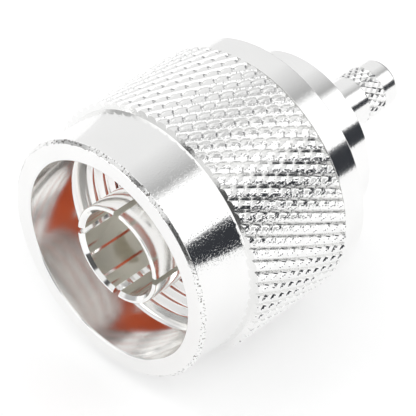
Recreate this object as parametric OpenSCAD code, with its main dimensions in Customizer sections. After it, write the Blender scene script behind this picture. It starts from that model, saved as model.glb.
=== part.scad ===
// N type plug connector for a crimped coaxial cable: a knurled coupling nut that
// spins freely on a plated body with a slotted outer contact, a silicone gasket,
// a PTFE insulator and a knurled crimp stem.
// Depths are measured along the axis from the nut's open front face towards the
// cable. In the assembly the axis is Y, the open end looks to -Y and the origin is
// on the axis where the coupling thread starts.

/* [Coupling nut] */
// Length of the coupling nut from its front face to its rear edge
nut_length = 16.85; // [15.5:0.1:18]
// Radius of the nut's outer edge at its front face
nut_front_r = 9.77; // [9.7:0.01:10]
// Width of the bevel on the nut's front edge
front_bevel = 0.26; // [0.1:0.01:0.4]
// Radius at the bottom of the concave waist
waist_r = 9.62; // [9.3:0.01:9.68]
// Depth of the narrowest point of the waist
waist_depth = 2.35; // [1.8:0.05:2.6]
// Radius of the plain band behind the knurl
band_r = 10.15; // [9.9:0.05:10.15]
// Width of the bevels on the nut's rear edges
nut_bevel = 0.15; // [0.05:0.01:0.3]
// Radius of the smooth entry in front of the thread
entry_r = 8.13; // [8:0.01:8.3]
// Depth of the smooth entry
entry_depth = 4.28; // [3.5:0.01:4.6]
// Width of the chamfer round the mouth
mouth_chamfer = 0.1; // [0.05:0.01:0.4]
// Crest radius of the 5/8-24 internal thread
thread_minor_r = 7.43; // [7.3:0.01:7.5]
// Root radius of the 5/8-24 internal thread
thread_major_r = 7.94; // [7.8:0.01:8.05]
// Length of the internal thread
thread_length = 5.3; // [4.5:0.05:5.6]
// Width of the undercut behind the thread
undercut_width = 0.8; // [0.5:0.05:1]

/* [Knurl] */
// Number of grooves of each hand round the nut
knurl_count = 66; // [48:1:72]
// Number of half diamonds along the knurl
knurl_rows = 10; // [8:1:12]
// Depth at which the knurl starts
knurl_start = 4.95; // [4.9:0.01:5.2]
// Length of the knurl
knurl_length = 9.77; // [9:0.01:10]
// Radius over the lands of the diamonds
knurl_crest_r = 10.46; // [10.42:0.01:10.7]
// Depth of the leading grooves
knurl_lead_depth = 0.26; // [0.2:0.01:0.26]
// Depth of the crossing grooves
knurl_cross_depth = 0.19; // [0.1:0.01:0.19]
// Share of a diamond's width that its flat land takes
knurl_land = 0.55; // [0.2:0.01:0.8]

/* [Body] */
// Radius of the body behind the nut and in the nut's bore
body_r = 7.13; // [7:0.01:7.2]
// Depth of the body's rear face
body_end = 21.07; // [20.2:0.01:22.5]
// Width of the bevels on the body's ends
body_bevel = 0.15; // [0.05:0.01:0.3]
// Depth of the shoulder that the gasket sits on
shoulder_depth = 10.2; // [10:0.05:10.5]
// Radial running clearance between the nut and the body
running_gap = 0.07; // [0.02:0.01:0.1]
// Thickness of the wall between the insulator and the crimp stem
web = 0.8; // [0.6:0.05:1.2]
// Radius of the hole in that wall
web_hole_r = 1.75; // [1.7:0.01:1.9]

/* [Retaining ring] */
// Thickness of the split retaining ring
ring_thickness = 0.8; // [0.6:0.05:1]
// Depth of the ring's front face
ring_depth = 13.1; // [12.9:0.05:13.6]
// Outer radius of the ring
ring_outer_r = 8.0; // [7.7:0.05:8.1]
// Radial width of the ring
ring_width = 1.5; // [1.2:0.05:1.7]
// Width of the split in the ring
ring_split = 1.6; // [1:0.1:3]
// Side clearance of the ring in its grooves
ring_side_gap = 0.08; // [0.04:0.01:0.15]
// Clearance round the ring in the nut's groove
ring_outer_gap = 0.2; // [0.1:0.05:0.3]

/* [Gasket] */
// Thickness of the gasket
gasket_thickness = 1.75; // [1.4:0.05:2]
// Outer radius of the gasket
gasket_r = 7.15; // [6.9:0.05:7.2]
// Radius of the rounding on the gasket's free edges
gasket_round = 0.2; // [0.05:0.05:0.4]

/* [Outer contact] */
// Outer radius of the slotted sleeve
sleeve_r = 4.05; // [4:0.01:4.1]
// Radius of the sleeve's thicker root under the gasket
sleeve_root_r = 4.3; // [4.2:0.01:4.5]
// Inner radius of the slotted sleeve
sleeve_bore_r = 3.5; // [3.4:0.01:3.6]
// Depth of the sleeve's lip behind the nut's front face
sleeve_tip = 0.95; // [0.8:0.05:1.6]
// Rounding of the lip's outer edge
lip_round = 0.15; // [0.05:0.01:0.2]
// Width of the bevel inside the lip
lip_bevel = 0.26; // [0.1:0.01:0.35]
// Number of slots in the sleeve
slot_count = 4; // [3:1:8]
// Width of each slot
slot_width = 0.55; // [0.4:0.05:0.7]
// Length of each slot
slot_length = 8.45; // [6.5:0.05:8.6]
// Turn of the first slot about the axis
slot_turn = 2.5; // [0:0.5:90]
// Radius of the shank pressed into the body
shank_r = 4.65; // [4.5:0.05:4.8]
// Length of the shank
shank_length = 4.2; // [3.5:0.1:4.6]

/* [Insulator] */
// Radius of the insulator inside the outer contact's shank
insulator_r = 3.75; // [3.7:0.01:3.9]
// Length of the insulator's collar behind the shank
collar_length = 1.8; // [1.2:0.1:2.2]
// Radius of the hole that takes the centre contact
contact_hole_r = 1.3; // [1.2:0.01:1.33]

/* [Crimp stem] */
// Outer radius of the crimp stem
stem_r = 2.05; // [2:0.01:2.1]
// Radius of the hole through the crimp stem
stem_bore_r = 1.5; // [1.48:0.01:1.55]
// Depth of the stem's free end
stem_end = 30.45; // [28:0.01:32]
// Rounding of the stem's free end
stem_round = 0.45; // [0.2:0.01:0.5]
// Radius of the thicker root of the stem
stem_root_r = 2.3; // [2.15:0.05:2.6]
// Depth at which the thicker root ends
stem_root_end = 23.6; // [23:0.1:25.6]
// Length of the taper between the root and the stem
stem_taper = 0.9; // [0.4:0.1:1.2]
// Radius of the head pressed into the body
stem_head_r = 3.3; // [3.1:0.05:3.8]
// Number of grooves of each hand round the stem's knurl
stem_knurl_count = 22; // [16:1:28]
// Number of half diamonds along the stem's knurl
stem_knurl_rows = 4; // [2:1:6]
// Depth at which the stem's knurl starts
stem_knurl_start = 26.9; // [26.6:0.05:27.4]
// Length of the stem's knurl
stem_knurl_length = 1.85; // [1.4:0.05:2.2]
// Depth of the stem's leading grooves
stem_knurl_depth = 0.13; // [0.08:0.01:0.16]
// Share of the stem's diamonds that their flat lands take
stem_knurl_land = 0.4; // [0.2:0.01:0.7]

/* [Assembly] */
// Radial clearance left round each pressed seat
seat_gap = 0.01; // [0.005:0.005:0.02]

/* [Hidden] */
$fn = 96;

// Overlap that joins two shapes of one piece, and overshoot of a cut
joint = 0.1;
over = 1;
// Section points along an arc
arc_steps = 16;

// The internal thread starts at the end of a 45 degree chamfer behind the entry
thread_start = entry_depth + entry_r - thread_minor_r;
thread_end = thread_start + thread_length;
undercut_end = thread_end + undercut_width;
nut_bore_r = body_r + running_gap;
// Radius of the arc in section from the waist to the front bevel
waist_arc = (pow(waist_depth - front_bevel, 2) + pow(nut_front_r - waist_r, 2)) / (2 * (nut_front_r - waist_r));
knurl_end = knurl_start + knurl_length;
knurl_root_r = knurl_crest_r - knurl_lead_depth;
// Core under the knurl, hidden by its band of diamonds
core_r = knurl_root_r - 2 * joint;
// Retaining ring grooves
groove_front = ring_depth - ring_side_gap;
groove_width = ring_thickness + 2 * ring_side_gap;
groove_r = ring_outer_r + ring_outer_gap;
ring_inner_r = ring_outer_r - ring_width;
body_groove_r = ring_inner_r - seat_gap;
// Seats of the gasket and of the pressed pieces
gasket_front = shoulder_depth - gasket_thickness;
shank_end = shoulder_depth + shank_length;
body_bore_r = shank_r + seat_gap;
insulator_end = shank_end + collar_length;
stem_head_start = insulator_end + web;
// Depth of the stem's crossing grooves as a share of its leading grooves' depth
stem_cross_share = 0.8;

// Section points of an arc with centre [x, y], from angle a to angle b
function arc(x, y, r, a, b) =
    [for (i = [0:arc_steps]) let (t = a + (b - a) * i / arc_steps) [x + r * cos(t), y + r * sin(t)]];

// Radius of the waist's surface at a depth
function waist(z) = waist_r + waist_arc - sqrt(waist_arc * waist_arc - pow(z - waist_depth, 2));

// Puts a piece modelled along +Z, front face at z = 0, into the assembly
module place() {
    rotate([-90, 0, 0]) translate([0, 0, -thread_start]) children();
}

// A ring of diamonds with flat lands between two families of V grooves, with a plain
// bevel down to the grooves' floor at its far end. The columns are half a diamond apart
// round the axis and the rows half a diamond apart along it. Grooves cross where
// column + row is even and diamonds are centred where it is odd.
module diamond_knurl(count, rows, start, length, crest, lead, cross, land, inner) {
    columns = 2 * count;
    step = (length - lead) / rows;
    // how far the crossing groove's floor ends from the middle of the leading groove
    cut = (1 - land) / 2 * (1 - cross / lead);
    function at(c, m, r) = [r * cos(180 * c / count), r * sin(180 * c / count), start + step * m];
    grid = [for (m = [0:rows]) for (c = [0:columns - 1]) [c, m]];
    edge = [for (c = [0:columns - 1]) c];
    last = rows + lead / step;
    size = len(grid);
    ends = 7 * size;
    function turn(c) = (c + columns) % columns;
    function p(kind, c, m) = kind * size + columns * m + turn(c);
    // groove crossings, floors of the crossing grooves, and the lands' corners
    function x(c, m) = p(0, c, m);
    function ahead(c, m) = p(1, c, m);
    function behind(c, m) = p(2, c, m);
    function west(c, m) = p(3, c, m);
    function east(c, m) = p(4, c, m);
    function south(c, m) = p(5, c, m);
    function north(c, m) = p(6, c, m);
    // edge of the far bevel below the crossings and the lands, and the inner edges
    function foot(c) = ends + turn(c);
    function foot_west(c) = ends + columns + turn(c);
    function foot_east(c) = ends + 2 * columns + turn(c);
    function front(c) = ends + 3 * columns + turn(c);
    function rear(c) = ends + 4 * columns + turn(c);
    points = concat(
        [for (q = grid) at(q[0], q[1], crest - lead)],
        [for (q = grid) at(q[0] + cut, q[1] - cut, crest - cross)],
        [for (q = grid) at(q[0] - cut, q[1] + cut, crest - cross)],
        [for (q = grid) at(q[0] - land, q[1], crest)],
        [for (q = grid) at(q[0] + land, q[1], crest)],
        [for (q = grid) at(q[0], q[1] - land, crest)],
        [for (q = grid) at(q[0], q[1] + land, crest)],
        [for (c = edge) at(c, last, crest - lead)],
        [for (c = edge) at(c - land, last, crest - lead)],
        [for (c = edge) at(c + land, last, crest - lead)],
        [for (c = edge) at(c, 0, inner)],
        [for (c = edge) at(c, last, inner)]);
    faces = [
        for (q = grid) let (c = q[0], m = q[1]) if ((c + m) % 2 == 1) each [
            if (m > 0) each [
                [x(c - 1, m), west(c, m), ahead(c - 1, m)],
                [ahead(c - 1, m), west(c, m), south(c, m)],
                [ahead(c - 1, m), south(c, m), behind(c, m - 1)],
                [x(c, m - 1), behind(c, m - 1), south(c, m)],
                [x(c, m - 1), south(c, m), east(c, m)],
                [x(c, m - 1), east(c, m), x(c + 1, m)],
                [west(c, m), east(c, m), south(c, m)]],
            if (m < rows) each [
                [x(c, m + 1), ahead(c, m + 1), north(c, m)],
                [x(c, m + 1), north(c, m), west(c, m)],
                [x(c, m + 1), west(c, m), x(c - 1, m)],
                [ahead(c, m + 1), behind(c + 1, m), east(c, m)],
                [ahead(c, m + 1), east(c, m), north(c, m)],
                [x(c + 1, m), east(c, m), behind(c + 1, m)],
                [west(c, m), north(c, m), east(c, m)]],
            if (m == 0) each [
                [x(c - 1, 0), west(c, 0), front(c - 1)],
                [west(c, 0), front(c), front(c - 1)],
                [west(c, 0), east(c, 0), front(c)],
                [east(c, 0), front(c + 1), front(c)],
                [east(c, 0), x(c + 1, 0), front(c + 1)]],
            if (m == rows) each [
                [x(c - 1, m), foot(c - 1), foot_west(c)],
                [x(c - 1, m), foot_west(c), west(c, m)],
                [west(c, m), foot_west(c), foot_east(c)],
                [west(c, m), foot_east(c), east(c, m)],
                [east(c, m), foot_east(c), foot(c + 1)],
                [east(c, m), foot(c + 1), x(c + 1, m)],
                [foot(c - 1), rear(c - 1), foot_west(c)],
                [foot_west(c), rear(c - 1), rear(c)],
                [foot_west(c), rear(c), foot_east(c)],
                [foot_east(c), rear(c), rear(c + 1)],
                [foot_east(c), rear(c + 1), foot(c + 1)]]],
        for (c = edge) each [
            [front(c), front(c + 1), rear(c + 1)],
            [front(c), rear(c + 1), rear(c)]]];
    polyhedron(points = points, faces = faces);
}

// Knurled coupling nut: smooth entry, thread, undercut and a plain bore with the
// groove of the retaining ring; outside a bevelled rim, a waist, the knurl and a band
module coupling_nut() {
    neck = [for (i = [0:arc_steps])
        let (z = front_bevel + (knurl_start + joint / 2 - front_bevel) * i / arc_steps) [waist(z), z]];
    color("silver") place() {
        rotate_extrude() polygon(concat(
            [[entry_r + mouth_chamfer, 0], [nut_front_r - front_bevel, 0]],
            neck,
            [[core_r, knurl_start + joint / 2],
             [core_r, knurl_end - joint / 2],
             [band_r, knurl_end - joint / 2],
             [band_r, nut_length - nut_bevel],
             [band_r - nut_bevel, nut_length],
             [nut_bore_r + nut_bevel, nut_length],
             [nut_bore_r, nut_length - nut_bevel],
             [nut_bore_r, groove_front + groove_width],
             [groove_r, groove_front + groove_width],
             [groove_r, groove_front],
             [nut_bore_r, groove_front],
             [nut_bore_r, undercut_end],
             [thread_major_r, undercut_end],
             [thread_major_r, thread_end],
             [thread_minor_r, thread_end],
             [thread_minor_r, thread_start],
             [entry_r, entry_depth],
             [entry_r, mouth_chamfer]]));
        diamond_knurl(knurl_count, knurl_rows, knurl_start, knurl_length,
            knurl_crest_r, knurl_lead_depth, knurl_cross_depth, knurl_land, core_r - joint);
    }
}

// Split spring ring that holds the nut on the body
module retaining_ring() {
    color("gray") place() difference() {
        translate([0, 0, ring_depth]) difference() {
            cylinder(h = ring_thickness, r = ring_outer_r);
            translate([0, 0, -over]) cylinder(h = ring_thickness + 2 * over, r = ring_inner_r);
        }
        translate([0, -ring_split / 2, ring_depth - over])
            cube([ring_outer_r + over, ring_split, ring_thickness + 2 * over]);
    }
}

// Flat silicone ring on the body's shoulder, with rounded free edges
module gasket() {
    color("orangered") place() rotate_extrude() polygon(concat(
        [[sleeve_root_r + seat_gap, shoulder_depth], [sleeve_root_r + seat_gap, gasket_front]],
        arc(gasket_r - gasket_round, gasket_front + gasket_round, gasket_round, -90, 0),
        [[gasket_r, shoulder_depth]]));
}

// Slotted sleeve with a bevelled lip, and the shank that is pressed into the body
module outer_contact() {
    color("silver") place() difference() {
        rotate_extrude() polygon(concat(
            [[sleeve_bore_r + lip_bevel, sleeve_tip]],
            arc(sleeve_r - lip_round, sleeve_tip + lip_round, lip_round, -90, 0),
            [[sleeve_r, gasket_front],
             [sleeve_root_r, gasket_front],
             [sleeve_root_r, shoulder_depth],
             [shank_r, shoulder_depth],
             [shank_r, shank_end],
             [insulator_r + seat_gap, shank_end],
             [insulator_r + seat_gap, shoulder_depth],
             [sleeve_bore_r, shoulder_depth],
             [sleeve_bore_r, sleeve_tip + lip_bevel]]));
        for (i = [0:slot_count - 1]) rotate(slot_turn + 360 * i / slot_count)
            translate([0, -slot_width / 2, sleeve_tip - over])
                cube([sleeve_r + over, slot_width, slot_length + over]);
    }
}

// Turned body: gasket shoulder, groove of the retaining ring and the bores for the
// outer contact, the insulator and the crimp stem
module body() {
    color("silver") place() rotate_extrude() polygon([
        [body_bore_r, shoulder_depth],
        [body_r - body_bevel, shoulder_depth],
        [body_r, shoulder_depth + body_bevel],
        [body_r, groove_front],
        [body_groove_r, groove_front],
        [body_groove_r, groove_front + groove_width],
        [body_r, groove_front + groove_width],
        [body_r, body_end - body_bevel],
        [body_r - body_bevel, body_end],
        [stem_head_r + seat_gap, body_end],
        [stem_head_r + seat_gap, stem_head_start],
        [web_hole_r, stem_head_start],
        [web_hole_r, insulator_end],
        [body_bore_r, insulator_end]]);
}

// PTFE insulator: a plug inside the shank and a collar trapped behind it
module insulator() {
    color("ivory") place() rotate_extrude() polygon([
        [contact_hole_r, shoulder_depth],
        [insulator_r, shoulder_depth],
        [insulator_r, shank_end],
        [shank_r, shank_end],
        [shank_r, insulator_end],
        [contact_hole_r, insulator_end]]);
}

// Thin tube that the braid is crimped on, with its pressed head and knurled middle
module crimp_stem() {
    knurl_stop = stem_knurl_start + stem_knurl_length;
    stem_core_r = stem_r - stem_knurl_depth - joint;
    color("silver") place() {
        rotate_extrude() polygon(concat(
            [[stem_bore_r, stem_head_start],
             [stem_head_r, stem_head_start],
             [stem_head_r, body_end],
             [stem_root_r, body_end],
             [stem_root_r, stem_root_end],
             [stem_r, stem_root_end + stem_taper],
             [stem_r, stem_knurl_start],
             [stem_core_r, stem_knurl_start],
             [stem_core_r, knurl_stop],
             [stem_r, knurl_stop]],
            arc(stem_r - stem_round, stem_end - stem_round, stem_round, 0, 90),
            [[stem_bore_r, stem_end]]));
        diamond_knurl(stem_knurl_count, stem_knurl_rows, stem_knurl_start - joint / 2,
            stem_knurl_length + joint, stem_r + stem_knurl_depth / 2, stem_knurl_depth,
            stem_cross_share * stem_knurl_depth, stem_knurl_land, stem_core_r - joint);
    }
}

coupling_nut();
retaining_ring();
gasket();
outer_contact();
body();
insulator();
crimp_stem();
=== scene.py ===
"""Looks of an N type crimp plug.

A plated, knurled coupling nut spins on a turned body with a slotted sleeve, a red
gasket, a PTFE insulator and a thin crimp stem.
"""

import math
import random

import bpy
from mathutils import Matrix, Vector, noise


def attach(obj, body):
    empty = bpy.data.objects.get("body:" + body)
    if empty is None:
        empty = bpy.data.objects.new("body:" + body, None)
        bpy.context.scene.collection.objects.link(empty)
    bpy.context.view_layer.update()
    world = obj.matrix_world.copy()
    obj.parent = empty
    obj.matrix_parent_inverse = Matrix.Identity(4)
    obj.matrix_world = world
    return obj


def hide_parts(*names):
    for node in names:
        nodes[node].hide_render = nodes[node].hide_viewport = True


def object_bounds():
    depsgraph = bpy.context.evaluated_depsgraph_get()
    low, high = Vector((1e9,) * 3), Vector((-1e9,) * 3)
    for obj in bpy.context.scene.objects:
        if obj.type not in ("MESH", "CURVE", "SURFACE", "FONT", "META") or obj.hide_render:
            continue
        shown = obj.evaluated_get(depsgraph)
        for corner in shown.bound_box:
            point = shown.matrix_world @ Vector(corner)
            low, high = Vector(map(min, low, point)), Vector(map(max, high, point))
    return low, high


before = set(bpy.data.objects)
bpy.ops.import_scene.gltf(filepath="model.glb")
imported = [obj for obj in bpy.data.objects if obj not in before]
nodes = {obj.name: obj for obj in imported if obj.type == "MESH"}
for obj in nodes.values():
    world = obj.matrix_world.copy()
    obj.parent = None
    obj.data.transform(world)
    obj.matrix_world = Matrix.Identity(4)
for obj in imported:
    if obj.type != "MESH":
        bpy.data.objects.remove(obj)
cad_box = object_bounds()

MM = 0.001

# Nut. Depths are in millimetres from its open front face, as in the part's source.
THREAD_START = 4.98
NUT_LENGTH = 16.85
NUT_FRONT_R = 9.77
FRONT_BEVEL = 0.26
WAIST_R = 9.62
WAIST_DEPTH = 2.35
BAND_R = 10.15
NUT_BEVEL = 0.15
ENTRY_R = 8.13
ENTRY_DEPTH = 4.28
MOUTH_CHAMFER = 0.1
THREAD_MINOR_R = 7.43
THREAD_MAJOR_R = 7.94
THREAD_LENGTH = 5.3
THREAD_PITCH = 25.4 / 24
# Share of a pitch over which a flank rises is one over this
THREAD_FLANK_RATE = 2.4
# How far the trapezoid of the grooves is sunk, as a share of its height, to leave a flat crest
THREAD_CREST = 0.1
# Lengths over which the grooves start at the front and end at the rear
THREAD_LEAD_IN = 0.06
THREAD_RUNOUT = 0.2
UNDERCUT_WIDTH = 0.8
NUT_BORE_R = 7.2
GROOVE_R = 8.2
GROOVE_FRONT = 13.02
GROOVE_WIDTH = 0.96

# Knurl. Diamonds round the nut and along it, and their place
KNURL_COUNT = 66
KNURL_ROWS = 10
KNURL_START = 4.95
KNURL_LENGTH = 9.77
KNURL_CREST_R = 10.46
# Depths of the two families of grooves
KNURL_LEAD = 0.36
KNURL_CROSS = 0.2
# Shares of a diamond's width from a groove's floor to the edges of the lands beside it
LEAD_SIDES = (0.23, 0.1)
CROSS_SIDES = (0.3, 0.38)
# Share of a diamond's width over which a crossing groove runs out towards the next leading groove
CROSS_RUNOUT = 0.55
# Fall of a land from the middle of its diamond to the edges of the leading grooves
KNURL_CROWN = 0.03
# Places of the mesh's lines across a diamond, which take in the edges of both families of grooves
KNURL_LINES = [0.0, 0.1, 0.2, 0.29, 0.38, 0.48, 0.57, 0.64, 0.7, 0.77, 0.85, 0.92]
# Crushed surface: the lands' mean fall, its slow and quick unevenness, and that of the crossing
# grooves' walls
LAND_FALL = 0.012
LAND_WAVE = 0.016
LAND_GRAIN = 0.005
CROSS_WAVE = 0.008
CRUSH_SCALE = 5000
# How far the shell reaches into the ends of the knurl's band, and how far below the grooves' floor
# the shell and the band's inside lie
KNURL_OVERLAP = 0.05
SHELL_UNDER_KNURL = 0.2
BAND_UNDER_FLOOR = 0.3

# Camera, in millimetres and degrees: it looks at a point near the nut's middle, as in the photo
CAMERA_TARGET = (3.613, 1.86, 3.04)
CAMERA_TURN = 43.86
CAMERA_RISE = 39.67
CAMERA_DISTANCE = 159.5
CAMERA_LENS = 191.1

# Floor, in metres
FLOOR_HALF = 1.0
FLOOR_GAP = 0.0002


def axis_point(depth, radius, turn):
    """The point in metres at a depth and radius, turned about the axis by radians from +X towards -Z."""
    return (radius * math.cos(turn) * MM, (depth - THREAD_START) * MM, -radius * math.sin(turn) * MM)


def mesh_object(name, verts, faces, smooth=True):
    mesh = bpy.data.meshes.new(name)
    mesh.from_pydata(verts, [], faces)
    mesh.validate()
    mesh.update()
    obj = bpy.data.objects.new(name, mesh)
    bpy.context.scene.collection.objects.link(obj)
    if smooth:
        mesh.shade_smooth()
    return obj


# ---------------------------------------------------------------- materials


SILVER = (0.90, 0.90, 0.895)
# Inside of the mouth, a brighter copy of the plating that is painted light in the recess; the crushed lands,
# a darker copy that is painted shade among their crushed facets; and the sleeve
LIT_MOUTH_SILVER = (0.93, 0.925, 0.915)
# Darker copy of the plating for the knurl's lands: painted shade
SHADED_LAND_SILVER = (0.60, 0.60, 0.59)
SLEEVE_SILVER = (0.94, 0.94, 0.93)
WORN = (0.16, 0.15, 0.14, 1)


def new_material(name):
    mat = bpy.data.materials.new(name)
    mat.use_nodes = True
    tree = mat.node_tree
    shader = tree.nodes["Principled BSDF"]
    return mat, tree, shader


def add(tree, kind, inputs=None, **settings):
    """A new node. A value among its inputs is set on the socket, and another node's output is linked."""
    node = tree.nodes.new(kind)
    for key, value in settings.items():
        setattr(node, key, value)
    for key, value in (inputs or {}).items():
        if isinstance(value, bpy.types.NodeSocket):
            tree.links.new(value, node.inputs[key])
        else:
            node.inputs[key].default_value = value
    return node


def ramp(tree, fac, stops):
    """A colour ramp through (position, value) or (position, colour) stops."""
    node = add(tree, "ShaderNodeValToRGB", {"Fac": fac})
    elements = node.color_ramp.elements
    for i, (position, value) in enumerate(stops):
        element = elements[i] if i < len(elements) else elements.new(position)
        element.position = position
        element.color = (*value, 1) if isinstance(value, tuple) else (value, value, value, 1)
    return node


def blend(tree, fac, one, two):
    """The colour between two others."""
    return add(tree, "ShaderNodeMix", {0: fac, 6: one, 7: two}, data_type="RGBA").outputs[2]


def plating(name, colour, roughness, turning, pitting, wear=0.0):
    """Bright plating over turned brass: rings round the axis, pits, faint clouds and worn dark specks."""
    mat, tree, shader = new_material(name)
    place = add(tree, "ShaderNodeTexCoord").outputs["Object"]
    rings = add(tree, "ShaderNodeMapping", {"Vector": place, "Scale": (2200, 9000, 2200)})
    ring_noise = add(tree, "ShaderNodeTexNoise", {"Vector": rings.outputs[0], "Scale": 1.0, "Detail": 3.0})
    grit = add(tree, "ShaderNodeTexNoise", {
        "Vector": place, "Scale": 6500.0, "Detail": 2.0, "Roughness": 0.6,
    }).outputs["Fac"]
    pits = add(tree, "ShaderNodeMapRange", {"Value": grit, "From Min": 0.52, "From Max": 0.72})
    height = add(tree, "ShaderNodeMath", {0: ring_noise.outputs["Fac"], 1: turning}, operation="MULTIPLY")
    grain = add(tree, "ShaderNodeMath", {0: pits.outputs[0], 1: pitting}, operation="MULTIPLY")
    total = add(tree, "ShaderNodeMath", {0: height.outputs[0], 1: grain.outputs[0]}, operation="ADD")
    bump = add(tree, "ShaderNodeBump", {"Height": total.outputs[0], "Strength": 1.0, "Distance": 0.00001})
    cloud = add(tree, "ShaderNodeTexNoise", {"Vector": place, "Scale": 220.0, "Detail": 5.0}).outputs["Fac"]
    tint = ramp(tree, cloud, [(0.35, tuple(c * 0.97 for c in colour)), (0.65, colour)])
    rough = add(tree, "ShaderNodeMapRange", {
        "Value": cloud, "To Min": roughness * 0.8, "To Max": roughness * 1.25,
    })
    shown = tint.outputs["Color"]
    if wear:
        speck = add(tree, "ShaderNodeMapRange", {
            "Value": grit, "From Min": 0.62 - wear, "From Max": 0.66 - wear,
        })
        shown = blend(tree, speck.outputs[0], shown, WORN)
    tree.links.new(shown, shader.inputs["Base Color"])
    tree.links.new(rough.outputs[0], shader.inputs["Roughness"])
    tree.links.new(bump.outputs["Normal"], shader.inputs["Normal"])
    shader.inputs["Metallic"].default_value = 1.0
    return mat


def silicone():
    """Red-orange silicone rubber with a fine moulded grain."""
    mat, tree, shader = new_material("red silicone")
    place = add(tree, "ShaderNodeTexCoord").outputs["Object"]
    cloud = add(tree, "ShaderNodeTexNoise", {"Vector": place, "Scale": 500.0, "Detail": 4.0})
    tint = ramp(tree, cloud.outputs["Fac"], [(0.3, (0.88, 0.13, 0.03)), (0.7, (0.94, 0.17, 0.045))])
    bump = add(tree, "ShaderNodeBump", {"Height": cloud.outputs["Fac"], "Strength": 0.3, "Distance": 0.00004})
    tree.links.new(tint.outputs["Color"], shader.inputs["Base Color"])
    tree.links.new(bump.outputs["Normal"], shader.inputs["Normal"])
    shader.inputs["Roughness"].default_value = 0.5
    return mat


def ptfe():
    """Waxy off-white PTFE with faint turning rings."""
    mat, tree, shader = new_material("ptfe")
    place = add(tree, "ShaderNodeTexCoord").outputs["Object"]
    rings = add(
        tree, "ShaderNodeTexWave", {"Vector": place, "Scale": 2500.0, "Distortion": 2.0},
        wave_type="RINGS", rings_direction="Y",
    )
    tint = ramp(tree, rings.outputs["Fac"], [(0.0, (0.95, 0.91, 0.80)), (1.0, (0.97, 0.94, 0.85))])
    bump = add(tree, "ShaderNodeBump", {"Height": rings.outputs["Fac"], "Strength": 0.2, "Distance": 0.00002})
    tree.links.new(tint.outputs["Color"], shader.inputs["Base Color"])
    tree.links.new(bump.outputs["Normal"], shader.inputs["Normal"])
    shader.inputs["Roughness"].default_value = 0.42
    return mat


# ---------------------------------------------------------------- coupling nut


def waist(depth):
    """Radius of the concave waist at a depth, an arc from the front bevel through the narrowest place."""
    drop = NUT_FRONT_R - WAIST_R
    arc = ((WAIST_DEPTH - FRONT_BEVEL) ** 2 + drop**2) / (2 * drop)
    return WAIST_R + arc - math.sqrt(arc**2 - (depth - WAIST_DEPTH) ** 2)


def thread_radius(depth, turn):
    """Radius of the right-hand internal thread at a depth and turn, with wide flanks between narrow flats."""
    end = THREAD_START + THREAD_LENGTH
    phase = (depth / THREAD_PITCH + turn / (2 * math.pi)) % 1
    groove = max(0.0, min(1.0, (0.5 - abs(phase - 0.5)) * THREAD_FLANK_RATE - THREAD_CREST))
    fade = max(0.0, min(1.0, (end - depth) / THREAD_RUNOUT, (depth - THREAD_START) / THREAD_LEAD_IN))
    return THREAD_MINOR_R + (THREAD_MAJOR_R - THREAD_MINOR_R) * groove * fade


def softened(corners, radius=0.05, steps=4, support=0.02):
    """An open section with a small round at each sharp corner.

    Points close beside the rounds make the faces between them shade flat.
    """
    points = [corners[0]]
    for before, corner, after in zip(corners, corners[1:], corners[2:]):
        c, a, b = Vector(corner), Vector(before), Vector(after)
        if (c - a).angle(b - c) < math.radians(20):
            points.append(corner)
            continue
        size = min(radius, 0.35 * (a - c).length, 0.35 * (b - c).length)
        start, stop = c + (a - c).normalized() * size, c + (b - c).normalized() * size
        points.append(tuple(start + (a - c).normalized() * support))
        for i in range(steps + 1):
            t = i / steps
            points.append(tuple((1 - t) ** 2 * start + 2 * t * (1 - t) * c + t**2 * stop))
        points.append(tuple(stop + (b - c).normalized() * support))
    points.append(corners[-1])
    return points


def nut_section():
    """The nut's section as (radius, depth) points: out of the mouth, over the outside, in to the thread."""
    core = KNURL_CREST_R - KNURL_LEAD - SHELL_UNDER_KNURL
    core_end = KNURL_START + KNURL_LENGTH - KNURL_OVERLAP
    steps = 20
    neck = []
    for i in range(steps + 1):
        depth = FRONT_BEVEL + (KNURL_START + KNURL_OVERLAP - FRONT_BEVEL) * i / steps
        neck.append((waist(depth), depth))
    undercut_end = THREAD_START + THREAD_LENGTH + UNDERCUT_WIDTH
    groove_end = GROOVE_FRONT + GROOVE_WIDTH
    return softened([
        (THREAD_MINOR_R, THREAD_START),
        (ENTRY_R, ENTRY_DEPTH),
        (ENTRY_R, MOUTH_CHAMFER),
        (ENTRY_R + MOUTH_CHAMFER, 0),
        (NUT_FRONT_R - FRONT_BEVEL, 0),
        *neck,
        (core, KNURL_START + KNURL_OVERLAP),
        (core, core_end),
        (BAND_R, core_end),
        (BAND_R, NUT_LENGTH - NUT_BEVEL),
        (BAND_R - NUT_BEVEL, NUT_LENGTH),
        (NUT_BORE_R + NUT_BEVEL, NUT_LENGTH),
        (NUT_BORE_R, NUT_LENGTH - NUT_BEVEL),
        (NUT_BORE_R, groove_end),
        (GROOVE_R, groove_end),
        (GROOVE_R, GROOVE_FRONT),
        (NUT_BORE_R, GROOVE_FRONT),
        (NUT_BORE_R, undercut_end),
        (THREAD_MAJOR_R, undercut_end),
        (THREAD_MAJOR_R, THREAD_START + THREAD_LENGTH),
    ])


def build_nut_shell():
    """The nut without its diamonds: a lathe of its section, whose thread is a helix."""
    columns = 264
    thread_rows = 90
    rows = []
    for radius, depth in nut_section():
        rows.append([(radius, depth)] * columns)
    for i in range(thread_rows + 1):
        depth = THREAD_START + THREAD_LENGTH * (1 - i / thread_rows)
        rows.append([(thread_radius(depth, 2 * math.pi * c / columns), depth) for c in range(columns)])
    verts, faces = [], []
    for row in rows:
        for c, (radius, depth) in enumerate(row):
            verts.append(axis_point(depth, radius, 2 * math.pi * c / columns))
    count = len(rows)
    for m in range(count):
        for c in range(columns):
            a, b = m * columns, ((m + 1) % count) * columns
            d = (c + 1) % columns
            faces.append((a + c, b + c, b + d, a + d))
    return mesh_object("nut_shell", verts, faces)


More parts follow.
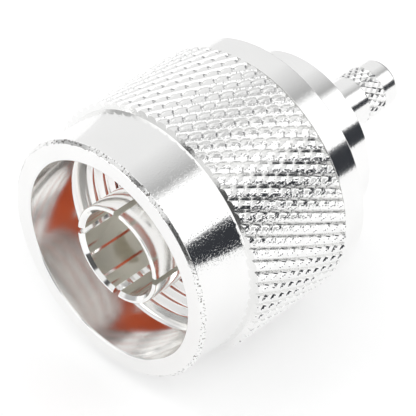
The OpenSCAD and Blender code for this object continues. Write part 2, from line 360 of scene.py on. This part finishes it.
def build_knurl():
    """The nut's ring of diamonds, as a grid whose lines follow both families of grooves.

    On the grid a grows along the crossing grooves and b along the leading ones, by one a diamond.
    """
    draw = random.Random(11)
    size = len(KNURL_LINES)
    around, along = KNURL_COUNT * size, KNURL_ROWS * size
    step = (KNURL_LENGTH - KNURL_LEAD) / KNURL_ROWS
    floor_r = KNURL_CREST_R - KNURL_LEAD
    inner = floor_r - BAND_UNDER_FLOOR
    # Slack in comparing two falls that meet at an edge
    slack = 0.001

    def spot(i):
        return i // size + KNURL_LINES[i % size]

    def lead(a):
        offset = a - math.floor(a + 0.5)
        side = LEAD_SIDES[offset > 0]
        if abs(offset) < side:
            return KNURL_CROWN + (KNURL_LEAD - KNURL_CROWN) * (1 - abs(offset) / side)
        return KNURL_CROWN * (0.5 - abs(offset)) / (0.5 - side)

    def cross(a, b):
        offset = b - math.floor(b + 0.5)
        left = min(1.0, (1 - LEAD_SIDES[0] - a % 1) / CROSS_RUNOUT)
        return KNURL_CROSS * (left - abs(offset) / CROSS_SIDES[offset > 0])

    def on_land(a, b):
        return lead(a) < KNURL_CROWN and lead(a) > cross(a, b)

    verts, faces, lands = [], [], []
    for i in range(around):
        a = spot(i)
        for k in range(along + 1):
            b = spot(i + k)
            depth, turn = KNURL_START + step * (b - a), math.pi * (a + b) / KNURL_COUNT
            radius = KNURL_CREST_R - max(0.0, lead(a), cross(a, b))
            crush = noise.noise(Vector(axis_point(depth, radius, turn)) * CRUSH_SCALE)
            if lead(a) <= KNURL_CROWN + slack and cross(a, b) <= lead(a) + slack:
                radius -= max(0.0, LAND_FALL + LAND_WAVE * crush + draw.uniform(-LAND_GRAIN, LAND_GRAIN))
            elif cross(a, b) > lead(a):
                radius += CROSS_WAVE * crush
            verts.append(axis_point(depth, radius, turn))

    def grid(i, k):
        return (i % around) * (along + 1) + k

    for i in range(around):
        for k in range(along):
            a, b, far_a, far_b = spot(i), spot(i + k), spot(i + 1), spot(i + k + 1)
            faces.append((grid(i, k), grid(i, k + 1), grid(i + 1, k)))
            lands.append(on_land((2 * a + far_a) / 3, (b + 2 * far_b) / 3))
            faces.append((grid(i + 1, k), grid(i, k + 1), grid(i + 1, k + 1)))
            lands.append(on_land((a + 2 * far_a) / 3, (2 * far_b + spot(i + k + 2)) / 3))
    ends = len(verts)
    rear = KNURL_START + KNURL_LENGTH
    for i in range(around):
        turn = math.pi * (2 * spot(i)) / KNURL_COUNT
        verts += [axis_point(depth, radius, turn) for depth, radius in (
            (KNURL_START, inner), (rear, inner), (rear, floor_r),
        )]

    def front(k):
        return ends + 3 * k

    def back(k):
        return ends + 3 * k + 1

    def foot(k):
        return ends + 3 * k + 2

    for i in range(around):
        j = (i + 1) % around
        faces.append((grid(i, 0), grid(j, 0), front(j), front(i)))
        faces.append((grid(i, along), foot(i), foot(j), grid(j, along)))
        faces.append((foot(i), back(i), back(j), foot(j)))
        faces.append((front(i), front(j), back(j), back(i)))
        lands += [True, False, False, False]
    obj = mesh_object("nut_knurl", verts, faces, smooth=False)
    obj.data.polygons.foreach_set("material_index", [int(land) for land in lands])
    return obj


# ---------------------------------------------------------------- studio


def camera_away():
    """Unit vector from the object towards the camera."""
    turn, rise = math.radians(CAMERA_TURN), math.radians(CAMERA_RISE)
    return Vector((math.sin(turn) * math.cos(rise), -math.cos(turn) * math.cos(rise), math.sin(rise)))


def build_world():
    """A pale studio with a bright softbox in front and dark gaps, laid out for the photo's viewpoint.

    The gaps lie where the photo's metal mirrors dark bands. Seen from elsewhere they fall on other metal.
    """
    world = bpy.data.worlds.new("studio")
    bpy.context.scene.world = world
    world.use_nodes = True
    tree = world.node_tree
    tree.nodes.clear()
    way = add(tree, "ShaderNodeTexCoord").outputs["Generated"]
    # Halfway between a direction and the photo's viewpoint lies the facing of the metal that mirrors it.
    half = add(tree, "ShaderNodeVectorMath", {0: way, 1: camera_away()}, operation="ADD")
    facing = add(tree, "ShaderNodeVectorMath", {0: half.outputs[0]}, operation="NORMALIZE")
    parts = add(tree, "ShaderNodeSeparateXYZ", {"Vector": facing.outputs[0]})
    around = add(tree, "ShaderNodeMath", {0: parts.outputs["Z"], 1: parts.outputs["X"]}, operation="ARCTAN2")
    share = add(tree, "ShaderNodeMapRange", {
        "Value": around.outputs[0], "From Min": -math.pi, "From Max": math.pi,
    })

    def at(stops):
        return [(0.5 + degrees / 360, value) for degrees, value in stops]

    # By the facing's angle from +X towards +Z: a wall, a gap, a panel with a shaded edge, and the ceiling
    wall, gap, panel, edge, ceiling = 0.88, (0.04, 0.043, 0.05), 1.3, 0.45, 0.93
    side = ramp(tree, share.outputs[0], at([
        (-180, wall), (20, wall), (22, gap), (36.5, gap), (37.5, panel), (59, panel),
        (63, edge), (70, 0.7), (80, ceiling), (180, ceiling),
    ])).outputs["Color"]
    # The same in front, where thinner gaps lie between the panels
    slit, shade = 0.1, 0.5
    front = ramp(tree, share.outputs[0], at([
        (-180, wall), (20, wall), (25, slit), (50, slit), (52, ceiling), (67, ceiling),
        (69, slit), (74, slit), (76, ceiling), (100, ceiling), (104, shade), (120, shade), (125, wall),
    ])).outputs["Color"]
    softbox, grey, white = (4.5, 4.5, 4.4, 1), (0.8, 0.8, 0.8, 1), (1.3, 1.3, 1.3, 1)
    dim, pale = (0.28, 0.28, 0.29, 1), (0.95, 0.95, 0.95, 1)
    # From facing forward to facing backward, each zone sets in between the two values of the facing's Y.
    light = softbox
    for start, stop, colour in [
        (-0.9, -0.86, grey), (-0.77, -0.75, front), (-0.62, -0.52, white),
        (-0.36, -0.32, side), (0.26, 0.31, dim), (0.5, 0.6, pale),
    ]:
        zone = add(tree, "ShaderNodeMapRange", {
            "Value": parts.outputs["Y"], "From Min": start, "From Max": stop,
        })
        light = blend(tree, zone.outputs[0], light, colour)
    lit = add(tree, "ShaderNodeBackground", {"Color": light, "Strength": 1.0})
    add(tree, "ShaderNodeOutputWorld", {"Surface": lit.outputs[0]})


def build_floor():
    """A plain pale floor just under the knurl, which camera and mirror rays see as white."""
    height = cad_box[0][2] - FLOOR_GAP
    corners = [(x * FLOOR_HALF, y * FLOOR_HALF, height) for x, y in ((-1, -1), (1, -1), (1, 1), (-1, 1))]
    floor = mesh_object("floor", corners, [(0, 1, 2, 3)])
    mat, tree, shader = new_material("pale floor")
    shader.inputs["Base Color"].default_value = (0.8, 0.8, 0.8, 1)
    shader.inputs["Roughness"].default_value = 1.0
    shader.inputs["Specular IOR Level"].default_value = 0.0
    path = add(tree, "ShaderNodeLightPath").outputs
    seen = add(
        tree, "ShaderNodeMath", {0: path["Is Camera Ray"], 1: path["Is Glossy Ray"]}, operation="MAXIMUM",
    )
    shown = add(
        tree, "ShaderNodeMath", {0: seen.outputs[0], 1: path["Is Transmission Ray"]}, operation="MAXIMUM",
    )
    glow = add(tree, "ShaderNodeEmission", {"Color": (1, 1, 1, 1), "Strength": 0.33})
    both = add(tree, "ShaderNodeAddShader", {0: shader.outputs[0], 1: glow.outputs[0]})
    mix = add(tree, "ShaderNodeMixShader", {0: shown.outputs[0], 1: shader.outputs[0], 2: both.outputs[0]})
    tree.links.new(mix.outputs[0], tree.nodes["Material Output"].inputs["Surface"])
    floor.data.materials.append(mat)


def build_camera():
    data = bpy.data.cameras.new("camera")
    data.lens = CAMERA_LENS
    data.clip_start = 0.01
    camera = bpy.data.objects.new("camera", data)
    bpy.context.scene.collection.objects.link(camera)
    camera.location = (Vector(CAMERA_TARGET) + camera_away() * CAMERA_DISTANCE) * MM
    camera.rotation_euler = (math.pi / 2 - math.radians(CAMERA_RISE), 0, math.radians(CAMERA_TURN))
    bpy.context.scene.camera = camera


def set_material(obj, mat):
    obj.data.materials.clear()
    obj.data.materials.append(mat)


build_camera()
build_world()
build_floor()

nut_metal = plating("nut plating", SILVER, 0.08, 0.05, 0.3)
# The inside of the nut's mouth and thread gets a brighter copy of the plating: painted light in the recess.
lit_entry_metal = plating("nut plating inside with painted light", LIT_MOUTH_SILVER, 0.13, 0.02, 0.0)
edge_metal = plating("worn nut edge", SILVER, 0.14, 0.2, 0.3, wear=0.05)
band_metal = plating("turned nut band", SILVER, 0.09, 0.5, 0.1)
# The lands get a darker copy of the plating, which is painted shade among the crushed facets; their
# roughness, pits and bumps are the real crushed finish.
shaded_land_metal = plating("crushed knurl lands with painted shade", SHADED_LAND_SILVER, 0.34, 0.0, 0.6, wear=-0.03)
contact_metal = plating("contact plating", SLEEVE_SILVER, 0.08, 0.03, 0.03)
body_metal = plating("body plating", SILVER, 0.09, 0.5, 0.05)
stem_metal = plating("stem plating", SILVER, 0.15, 0.1, 0.2)

nut_shell = build_nut_shell()
nut_knurl = build_knurl()
for piece in (nut_shell, nut_knurl):
    set_material(piece, nut_metal)
    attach(piece, "nut")
    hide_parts("coupling_nut")
for mat in (lit_entry_metal, edge_metal, band_metal):
    nut_shell.data.materials.append(mat)
nut_knurl.data.materials.append(shaded_land_metal)
# The shell's first material stays on its front face and neck.
for face in nut_shell.data.polygons:
    radius = math.hypot(face.center.x, face.center.z) / MM
    depth = face.center.y / MM + THREAD_START
    if radius < ENTRY_R + 0.01:
        face.material_index = 1
    elif depth < FRONT_BEVEL + 0.03 and radius > NUT_FRONT_R - FRONT_BEVEL - 0.03:
        face.material_index = 2
    elif depth > KNURL_START + KNURL_LENGTH - 0.1:
        face.material_index = 3

set_material(nodes["outer_contact"], contact_metal)
set_material(nodes["body"], body_metal)
set_material(nodes["crimp_stem"], stem_metal)
set_material(nodes["retaining_ring"], body_metal)
set_material(nodes["gasket"], silicone())
set_material(nodes["insulator"], ptfe())

bpy.context.scene.view_settings.view_transform = "Standard"
# Light reaches the insulator and the thread after many mirrorings.
bpy.context.scene.cycles.max_bounces = 24
bpy.context.scene.cycles.glossy_bounces = 24
bpy.context.scene.cycles.diffuse_bounces = 16
